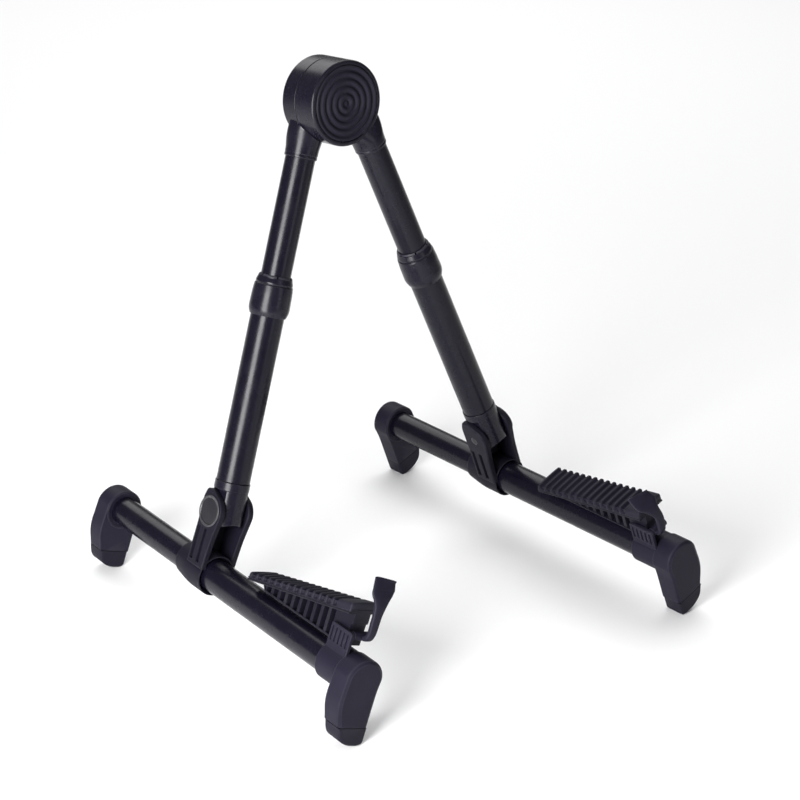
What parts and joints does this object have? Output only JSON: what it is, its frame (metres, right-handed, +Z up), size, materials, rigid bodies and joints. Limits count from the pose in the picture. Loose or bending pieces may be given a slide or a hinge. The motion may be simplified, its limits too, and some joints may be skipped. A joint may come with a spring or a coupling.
{
  "type": "folding guitar stand",
  "caption": "Folding A-frame guitar stand with telescopic legs on a round hub pivot, capped foot tubes, ribbed cradle arms and retaining hooks.",
  "frame": {"origin": "on the floor, under the middle of the bounding box", "axes": "+Z up, -Y towards the player and the hooks, +X to the right as seen from the front"},
  "size_m": [0.3358, 0.3512, 0.4101],
  "materials": {
    "plastic": "satin black moulding",
    "gloss": "polished black disc with a light rim",
    "tube": "satin black paint",
    "rubber": "matt black rubber",
    "nylon": "black nylon",
    "steel": "blackened steel"
  },
  "bodies": {
    "right_frame": {"hub_front_housing": "plastic", "hub_front_pad": "rubber", "hub_pivot_bolt": "steel", "hub_friction_washer": "nylon", "hub_lock_nut": "steel", "right_upper_tube": "tube", "right_guide_plug": "nylon"},
    "left_upper_leg": {"hub_rear_housing": "plastic", "hub_rear_cover": "plastic", "left_upper_tube": "tube", "left_guide_plug": "nylon"},
    "left_lower_leg": {"left_lower_tube": "tube", "left_collet": "nylon", "left_knuckle": "plastic"},
    "left_collar": {"left_lock_collar": "plastic"},
    "left_foot": {"left_yoke": "plastic", "left_pivot_pin": "steel", "left_pivot_cap": "gloss", "left_front_foot_tube": "tube", "left_front_cap": "plastic", "left_front_sole": "rubber", "left_arm": "plastic", "left_arm_pad": "rubber", "left_arm_pin": "steel", "left_hook_pin": "steel"},
    "left_rear_foot": {"left_rear_foot_tube": "tube", "left_rear_cap": "plastic", "left_rear_sole": "rubber"},
    "left_hook": {"left_hook": "plastic"},
    "right_lower_leg": {"right_lower_tube": "tube", "right_collet": "nylon", "right_knuckle": "plastic"},
    "right_collar": {"right_lock_collar": "plastic"},
    "right_foot": {"right_yoke": "plastic", "right_pivot_pin": "steel", "right_pivot_cap": "gloss", "right_front_foot_tube": "tube", "right_front_cap": "plastic", "right_front_sole": "rubber", "right_arm": "plastic", "right_arm_pad": "rubber", "right_arm_pin": "steel", "right_hook_pin": "steel"},
    "right_rear_foot": {"right_rear_foot_tube": "tube", "right_rear_cap": "plastic", "right_rear_sole": "rubber"},
    "right_hook": {"right_hook": "plastic"}
  },
  "joints": [
    {"name": "hub_fold", "type": "hinge", "parent": "right_frame", "child": "left_upper_leg", "pos_m": [-0.00036, 0.05806, 0.3775], "axis": [0, -0.9941, 0.1087], "range_deg": [0, 38]},
    {"name": "left_leg_slide", "type": "slide", "parent": "left_upper_leg", "child": "left_lower_leg", "axis": [-0.3554, -0.1016, -0.9292], "range_m": [-0.08, 0.02]},
    {"name": "left_collar_twist", "type": "hinge", "parent": "left_lower_leg", "child": "left_collar", "pos_m": [-0.12023, 0.03556, 0.09256], "axis": [0.3554, 0.1016, 0.9292], "range_deg": [0, 90]},
    {"name": "left_foot_fold", "type": "hinge", "parent": "left_lower_leg", "child": "left_foot", "pos_m": [-0.12023, 0.03556, 0.09256], "axis": [-0.9347, 0.0386, 0.3533], "range_deg": [0, 84]},
    {"name": "left_rear_foot_slide", "type": "slide", "parent": "left_foot", "child": "left_rear_foot", "axis": [0.0413, 0.9991, 0], "range_m": [-0.085, 0]},
    {"name": "left_hook_flip", "type": "hinge", "parent": "left_foot", "child": "left_hook", "pos_m": [-0.13488, -0.13919, 0.07291], "axis": [0.9347, -0.0386, -0.3533], "range_deg": [0, 90]},
    {"name": "right_leg_slide", "type": "slide", "parent": "right_frame", "child": "right_lower_leg", "axis": [0.3554, -0.1016, -0.9292], "range_m": [-0.08, 0.02]},
    {"name": "right_collar_twist", "type": "hinge", "parent": "right_lower_leg", "child": "right_collar", "pos_m": [0.12023, 0.01826, 0.09256], "axis": [-0.3554, 0.1016, 0.9292], "range_deg": [0, 90]},
    {"name": "right_foot_fold", "type": "hinge", "parent": "right_lower_leg", "child": "right_foot", "pos_m": [0.12023, 0.01826, 0.09256], "axis": [-0.9347, -0.0386, -0.3533], "range_deg": [0, 84]},
    {"name": "right_rear_foot_slide", "type": "slide", "parent": "right_foot", "child": "right_rear_foot", "axis": [-0.0413, 0.9991, 0], "range_m": [-0.085, 0]},
    {"name": "right_hook_flip", "type": "hinge", "parent": "right_foot", "child": "right_hook", "pos_m": [0.13488, -0.15649, 0.07291], "axis": [0.9347, 0.0386, 0.3533], "range_deg": [0, 90]}
  ]
}
